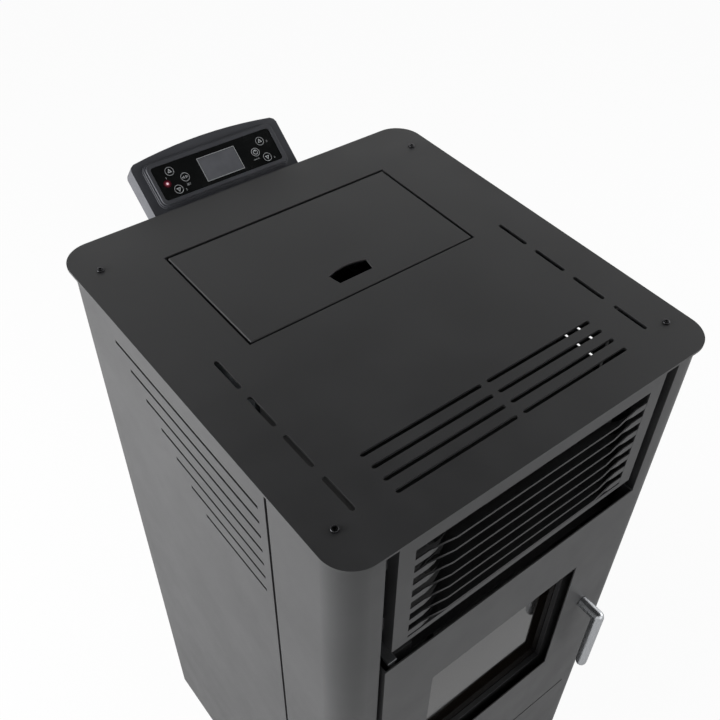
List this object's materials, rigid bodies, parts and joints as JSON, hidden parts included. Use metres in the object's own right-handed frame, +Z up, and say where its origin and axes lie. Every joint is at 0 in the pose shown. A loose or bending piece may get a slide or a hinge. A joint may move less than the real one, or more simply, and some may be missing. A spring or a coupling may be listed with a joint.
{
  "type": "pellet stove",
  "caption": "Pellet stove with a lidded hopper, louvred warm-air grille, glazed door, ash drawer, feed screw, fans and a tilted keypad behind the top plate.",
  "frame": {"origin": "centre of the bounding box in x and y, at the floor", "axes": "+Z up, -Y out of the front (door) side, +X to the right seen from the front"},
  "size_m": [0.48, 0.6366, 0.9779],
  "materials": {
    "charcoal_paint": "matt charcoal powder coat",
    "raw_steel": "zinc-plated or bare steel",
    "seal_rubber": "foam rubber strip",
    "galvanised_sheet": "galvanised sheet",
    "black_paint": "matt black heat-resistant paint",
    "black_plastic": "black moulded plastic",
    "liner": "pressed vermiculite board, buff",
    "cast_iron": "as cast, dark",
    "stainless": "satin stainless",
    "ceramic_glass": "dark ceramic glass",
    "rope_seal": "braided glass-fibre rope",
    "red_plastic": "translucent red",
    "circuit_board": "green solder mask",
    "housing_plastic": "fine-textured blue-grey moulded plastic",
    "gloss_black": "glossy black overlay and keys",
    "display": "unlit grey display"
  },
  "bodies": {
    "cabinet": {"top_plate": "charcoal_paint", "lid_hinge_rod": "raw_steel", "lid_gasket": "seal_rubber", "hopper": "galvanised_sheet", "hopper_guard": "galvanised_sheet", "side_panel_left": "charcoal_paint", "side_panel_right": "charcoal_paint", "corner_column_left": "charcoal_paint", "corner_column_right": "charcoal_paint", "front_grille": "black_paint", "rear_panel": "galvanised_sheet", "base_pan": "black_paint", "lower_fascia": "charcoal_paint", "auger_tube": "galvanised_sheet", "auger_gearmotor": "raw_steel", "pellet_chute": "galvanised_sheet", "firebox": "black_paint", "heat_exchanger": "raw_steel", "baffle": "liner", "firebox_liner": "liner", "burn_pot_holder": "cast_iron", "igniter": "stainless", "door_hinge_pin_upper": "raw_steel", "door_hinge_pin_lower": "raw_steel", "smoke_fan_housing": "galvanised_sheet", "smoke_fan_motor": "black_paint", "flue_outlet": "black_paint", "air_inlet_pipe": "raw_steel", "room_fan_housing": "galvanised_sheet", "mains_inlet": "black_plastic", "control_board": "circuit_board", "panel_housing": "housing_plastic", "panel_back_cover": "housing_plastic", "keypad_overlay": "gloss_black", "display_screen": "display", "indicator_lens": "red_plastic", "keypad_board": "circuit_board"},
    "lid": {"hopper_lid": "charcoal_paint"},
    "door": {"door_skin": "charcoal_paint", "door_frame": "cast_iron", "door_glass": "ceramic_glass", "door_gasket": "rope_seal"},
    "handle": {"door_handle": "stainless", "door_latch": "raw_steel"},
    "ash_tray": {"ash_drawer": "charcoal_paint"},
    "fire_pot": {"burn_pot": "cast_iron"},
    "feed_screw": {"auger_screw": "raw_steel"},
    "smoke_wheel": {"smoke_impeller": "stainless"},
    "room_wheel": {"room_fan_wheel": "black_plastic"},
    "button_left_up": {"key_left_up": "gloss_black"},
    "button_set": {"key_set": "gloss_black"},
    "button_left_down": {"key_left_down": "gloss_black"},
    "button_right_up": {"key_right_up": "gloss_black"},
    "button_power": {"key_power": "gloss_black"},
    "button_right_down": {"key_right_down": "gloss_black"},
    "rocker": {"mains_rocker": "red_plastic"},
    "foot_fl": {"foot_front_left": "black_plastic"},
    "foot_fr": {"foot_front_right": "black_plastic"},
    "foot_rl": {"foot_rear_left": "black_plastic"},
    "foot_rr": {"foot_rear_right": "black_plastic"}
  },
  "joints": [
    {"name": "lid_hinge", "type": "hinge", "parent": "cabinet", "child": "lid", "pos_m": [0, 0.14774, 0.939], "axis": [-1, 0, 0], "range_deg": [0, 100]},
    {"name": "door_hinge", "type": "hinge", "parent": "cabinet", "child": "door", "pos_m": [-0.174, -0.27226, 0.488], "axis": [0, 0, -1], "range_deg": [0, 110]},
    {"name": "handle_turn", "type": "hinge", "parent": "door", "child": "handle", "pos_m": [0.157, -0.28375, 0.51], "axis": [0, 1, 0], "range_deg": [0, 90]},
    {"name": "ash_drawer_slide", "type": "slide", "parent": "cabinet", "child": "ash_tray", "axis": [0, -1, 0], "range_m": [0, 0.2]},
    {"name": "burn_pot_lift", "type": "slide", "parent": "cabinet", "child": "fire_pot", "axis": [0, 0, 1], "range_m": [0, 0.05]},
    {"name": "feed_screw_spin", "type": "hinge", "parent": "cabinet", "child": "feed_screw", "pos_m": [0, 0.12751, 0.49974], "axis": [0, -0.7071, 0.7071], "continuous": true},
    {"name": "smoke_fan_spin", "type": "hinge", "parent": "cabinet", "child": "smoke_wheel", "pos_m": [-0.125, 0.08825, 0.215], "axis": [1, 0, 0], "continuous": true},
    {"name": "room_fan_spin", "type": "hinge", "parent": "cabinet", "child": "room_wheel", "pos_m": [0.06, 0.08825, 0.19], "axis": [1, 0, 0], "continuous": true},
    {"name": "press_left_up", "type": "slide", "parent": "cabinet", "child": "button_left_up", "axis": [0, 0.6157, -0.788], "range_m": [0, 0.0005], "stiffness_N_per_m": 2000},
    {"name": "press_set", "type": "slide", "parent": "cabinet", "child": "button_set", "axis": [0, 0.6157, -0.788], "range_m": [0, 0.0005], "stiffness_N_per_m": 2000},
    {"name": "press_left_down", "type": "slide", "parent": "cabinet", "child": "button_left_down", "axis": [0, 0.6157, -0.788], "range_m": [0, 0.0005], "stiffness_N_per_m": 2000},
    {"name": "press_right_up", "type": "slide", "parent": "cabinet", "child": "button_right_up", "axis": [0, 0.6157, -0.788], "range_m": [0, 0.0005], "stiffness_N_per_m": 2000},
    {"name": "press_power", "type": "slide", "parent": "cabinet", "child": "button_power", "axis": [0, 0.6157, -0.788], "range_m": [0, 0.0005], "stiffness_N_per_m": 2000},
    {"name": "press_right_down", "type": "slide", "parent": "cabinet", "child": "button_right_down", "axis": [0, 0.6157, -0.788], "range_m": [0, 0.0005], "stiffness_N_per_m": 2000},
    {"name": "rocker_switch", "type": "hinge", "parent": "cabinet", "child": "rocker", "pos_m": [0.126, 0.19395, 0.11], "axis": [1, 0, 0], "range_deg": [0, 24]},
    {"name": "level_front_left", "type": "slide", "parent": "cabinet", "child": "foot_fl", "axis": [0, 0, -1], "range_m": [0, 0.012]},
    {"name": "level_front_right", "type": "slide", "parent": "cabinet", "child": "foot_fr", "axis": [0, 0, -1], "range_m": [0, 0.012]},
    {"name": "level_rear_left", "type": "slide", "parent": "cabinet", "child": "foot_rl", "axis": [0, 0, -1], "range_m": [0, 0.012]},
    {"name": "level_rear_right", "type": "slide", "parent": "cabinet", "child": "foot_rr", "axis": [0, 0, -1], "range_m": [0, 0.012]}
  ]
}
